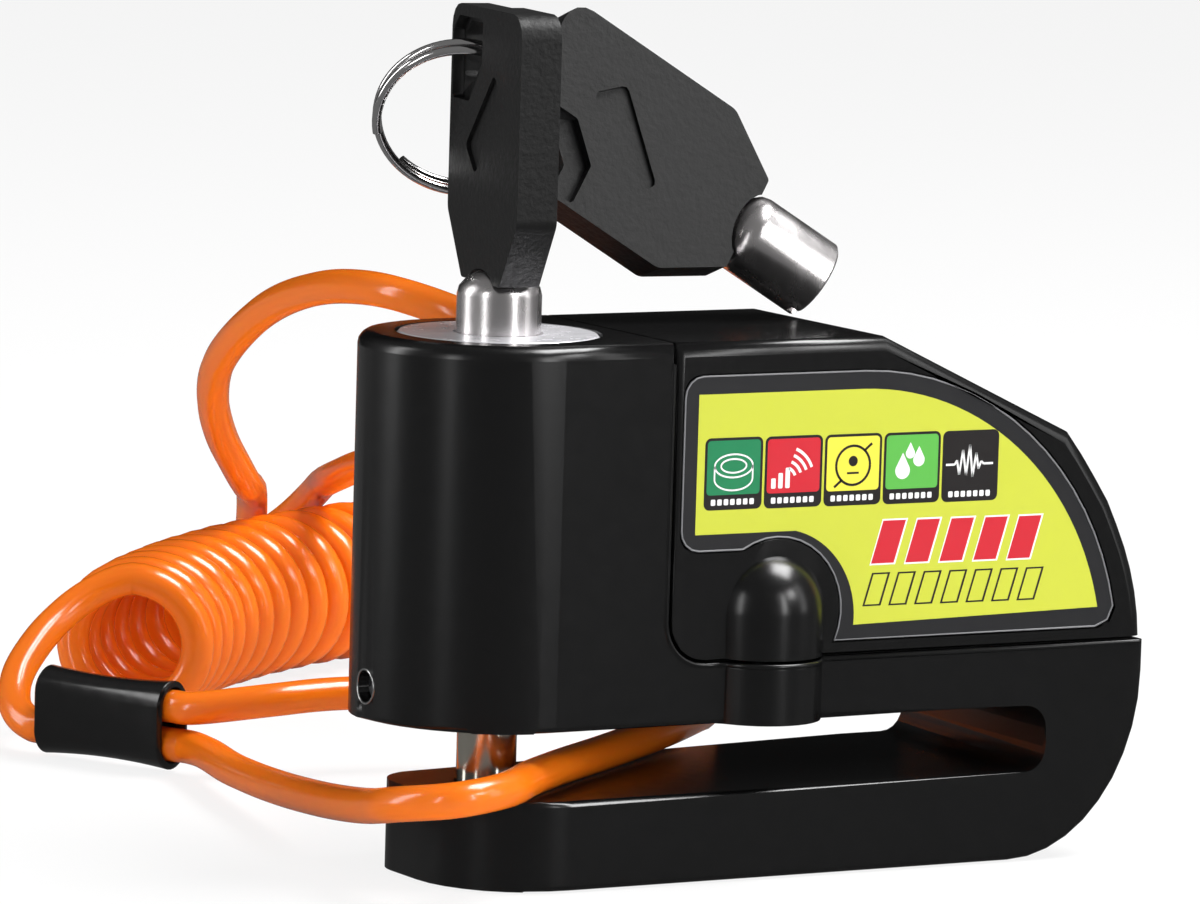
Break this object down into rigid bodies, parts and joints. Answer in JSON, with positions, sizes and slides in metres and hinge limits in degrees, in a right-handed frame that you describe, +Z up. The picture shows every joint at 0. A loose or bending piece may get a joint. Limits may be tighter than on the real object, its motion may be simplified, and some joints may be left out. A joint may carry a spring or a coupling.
{
  "type": "disc brake lock",
  "caption": "Alarm disc brake lock: slotted casting with a push-down bolt, tubular keys on a split ring, labelled alarm cover and a coiled reminder cable.",
  "frame": {"origin": "on the underside of the jaw, under the key axis", "axes": "+Z up along the key axis, +X along the body to its closed end, -Y the labelled front"},
  "size_m": [0.1244, 0.2125, 0.1004],
  "materials": {
    "black_paint": "satin",
    "black_plastic": "satin",
    "polished_steel": "polished",
    "steel": "brushed",
    "brass": "satin",
    "label_yellow": "gloss",
    "gasket_rubber": "matte",
    "board_green": "satin",
    "cable_orange": "gloss"
  },
  "bodies": {
    "lock_body": {"body_casting": "black_paint", "set_screw": "steel", "alarm_cover": "black_plastic", "front_label": "label_yellow", "cover_gasket": "gasket_rubber", "cover_screw_front": "steel", "cover_screw_rear_left": "steel", "cover_screw_rear_right": "steel", "battery_tray": "black_plastic", "button_cell_1": "polished_steel", "button_cell_2": "polished_steel", "button_cell_3": "polished_steel", "button_cell_4": "polished_steel", "button_cell_5": "polished_steel", "button_cell_6": "polished_steel", "battery_contact_front": "brass", "battery_contact_rear": "brass", "circuit_board": "board_green", "siren_housing": "black_plastic", "siren_disc": "brass", "vibration_sensor": "polished_steel", "reed_switch": "steel", "return_spring": "steel", "cable_coil": "cable_orange", "cable_loop_front": "cable_orange", "cable_loop_rear": "cable_orange", "cable_sleeve_front": "black_plastic", "cable_sleeve_rear": "black_plastic"},
    "plunger_group": {"plunger": "polished_steel", "locking_bolt": "polished_steel", "core_barrel": "brass", "arming_magnet": "steel"},
    "latch_bar": {"latch": "steel"},
    "lock_core": {"core_rotor": "polished_steel", "tumbler_pin_1": "brass", "tumbler_pin_2": "brass", "tumbler_pin_3": "brass", "tumbler_pin_4": "brass", "tumbler_pin_5": "brass", "tumbler_pin_6": "brass", "tumbler_pin_7": "brass"},
    "working_key": {"key_tube": "polished_steel", "key_bow": "black_plastic"},
    "split_ring": {"key_ring": "polished_steel"},
    "spare_key": {"spare_key_tube": "polished_steel", "spare_key_bow": "black_plastic"}
  },
  "joints": [
    {"name": "plunger_lift", "type": "slide", "parent": "lock_body", "child": "plunger_group", "axis": [0, 0, 1], "range_m": [0, 0.0148], "deforming": ["return_spring"]},
    {"name": "latch_slide", "type": "slide", "parent": "plunger_group", "child": "latch_bar", "axis": [1, 0, 0], "range_m": [0, 0.00166]},
    {"name": "core_turn", "type": "hinge", "parent": "plunger_group", "child": "lock_core", "pos_m": [0, 0, 0.0535], "axis": [0, 0, -1], "range_deg": [0, 90]},
    {"name": "key_pull", "type": "slide", "parent": "lock_core", "child": "working_key", "axis": [0, 0, 1], "range_m": [0, 0.012]},
    {"name": "ring_turn", "type": "hinge", "parent": "working_key", "child": "split_ring", "pos_m": [0.00129, 0.01234, 0.08668], "axis": [-0.4375, -0.767, -0.4695], "range_deg": [0, 28]},
    {"name": "spare_key_swing", "type": "hinge", "parent": "split_ring", "child": "spare_key", "pos_m": [0.01008, 0.01028, 0.08238], "axis": [0.2329, -0.6009, 0.7647], "range_deg": [0, 35]}
  ],
  "couplings": [
    {"joint": "latch_slide", "follows": "core_turn", "m_per_rad": 0.00105}
  ]
}
